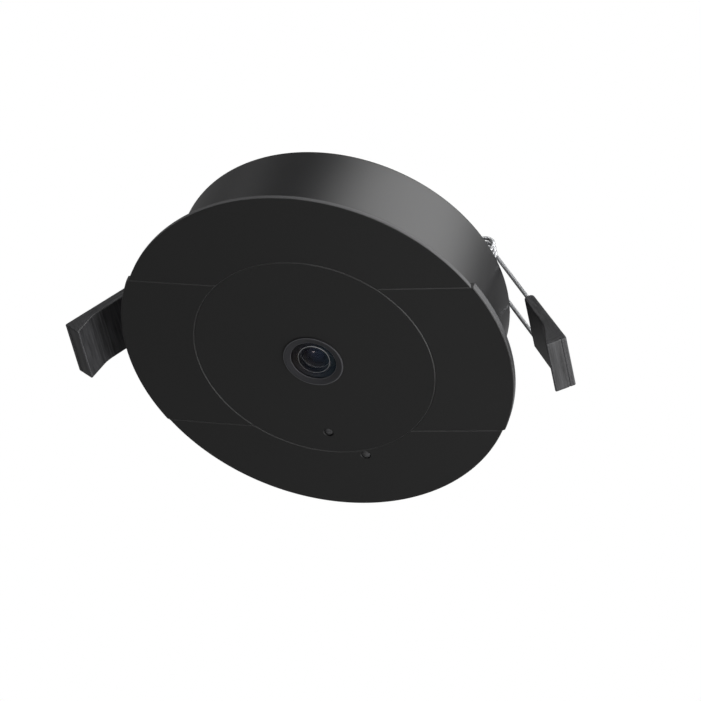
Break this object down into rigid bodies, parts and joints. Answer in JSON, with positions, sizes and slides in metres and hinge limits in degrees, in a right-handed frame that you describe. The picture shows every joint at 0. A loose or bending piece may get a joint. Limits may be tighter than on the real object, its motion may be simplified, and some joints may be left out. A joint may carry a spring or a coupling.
{
  "type": "fisheye ip camera",
  "caption": "Recessed ceiling camera with a fisheye lens in a round two-seam face plate, a short barrel and sprung folding clips.",
  "frame": {"origin": "centre of the flange's ceiling seat on the camera's axis", "axes": "+Z along the barrel into the ceiling, the lens looks along -Z; +X along the face's seams to the right-hand clip"},
  "size_m": [0.157, 0.12, 0.0441],
  "materials": {
    "face_black": "fine moulded texture, matt",
    "barrel_black": "satin",
    "bezel_black": "satin",
    "lens_glass": "coated, polished",
    "bright_ring": "turned",
    "spring_wire": "drawn wire",
    "bracket_steel": "zinc plated",
    "screw_steel": "black oxide",
    "pad_rubber": "moulded",
    "seal_rubber": "moulded",
    "circuit_board": "solder mask",
    "chip_black": "moulded",
    "chassis_metal": "sheet",
    "thermal_pad": "soft",
    "brass_posts": "turned",
    "contact_gold": "gold plated",
    "socket_black": "moulded",
    "can_metal": "drawn",
    "light_plastic": "clear",
    "button_plastic": "moulded"
  },
  "bodies": {
    "root": {"face_frame": "face_black", "top_cover": "face_black", "bottom_cover": "face_black", "centre_disc": "face_black", "housing": "barrel_black", "rear_cover": "barrel_black", "lens_bezel": "bezel_black", "lens_barrel": "bezel_black", "lens_holder": "bezel_black", "front_glass": "lens_glass", "lens_element_2": "lens_glass", "lens_element_3": "lens_glass", "ir_filter": "lens_glass", "lens_ring": "bright_ring", "clip_bracket_right": "bracket_steel", "clip_bracket_left": "bracket_steel", "clip_pin_right": "bracket_steel", "clip_pin_left": "bracket_steel", "cover_screws": "screw_steel", "frame_screws": "screw_steel", "chassis_screws": "screw_steel", "bracket_screws_right": "screw_steel", "bracket_screws_left": "screw_steel", "sensor_board_screws": "screw_steel", "main_board_screws": "screw_steel", "front_seal": "seal_rubber", "mic_boot": "seal_rubber", "sensor_board": "circuit_board", "main_board": "circuit_board", "processor": "chip_black", "memory_chips": "chip_black", "image_sensor": "chip_black", "reset_switch": "chip_black", "board_connector": "chip_black", "power_transformer": "chip_black", "chassis": "chassis_metal", "thermal_pad": "thermal_pad", "sensor_standoffs": "brass_posts", "board_standoffs": "brass_posts", "network_contacts": "contact_gold", "network_socket": "socket_black", "capacitors": "can_metal", "card_slot": "can_metal", "mic_capsule": "can_metal", "light_guide": "light_plastic", "status_led": "light_plastic"},
    "clip_right": {"clip_spring_right": "spring_wire", "clip_pad_right": "pad_rubber"},
    "clip_left": {"clip_spring_left": "spring_wire", "clip_pad_left": "pad_rubber"},
    "reset_button": {"reset_plunger": "button_plastic"}
  },
  "joints": [
    {"name": "clip_right_fold", "type": "hinge", "parent": "root", "child": "clip_right", "pos_m": [0.04585, 0, 0.0343], "axis": [0, -1, 0], "range_deg": [0, 142], "stiffness_Nm_per_rad": 0.08, "springref_deg": -20.05},
    {"name": "clip_left_fold", "type": "hinge", "parent": "root", "child": "clip_left", "pos_m": [-0.04585, 0, 0.0343], "axis": [0, 1, 0], "range_deg": [0, 142], "stiffness_Nm_per_rad": 0.08, "springref_deg": -20.05},
    {"name": "reset_press", "type": "slide", "parent": "root", "child": "reset_button", "axis": [0, 0, 1], "range_m": [0, 0.0004], "stiffness_N_per_m": 500, "springref_m": -0.0005}
  ]
}
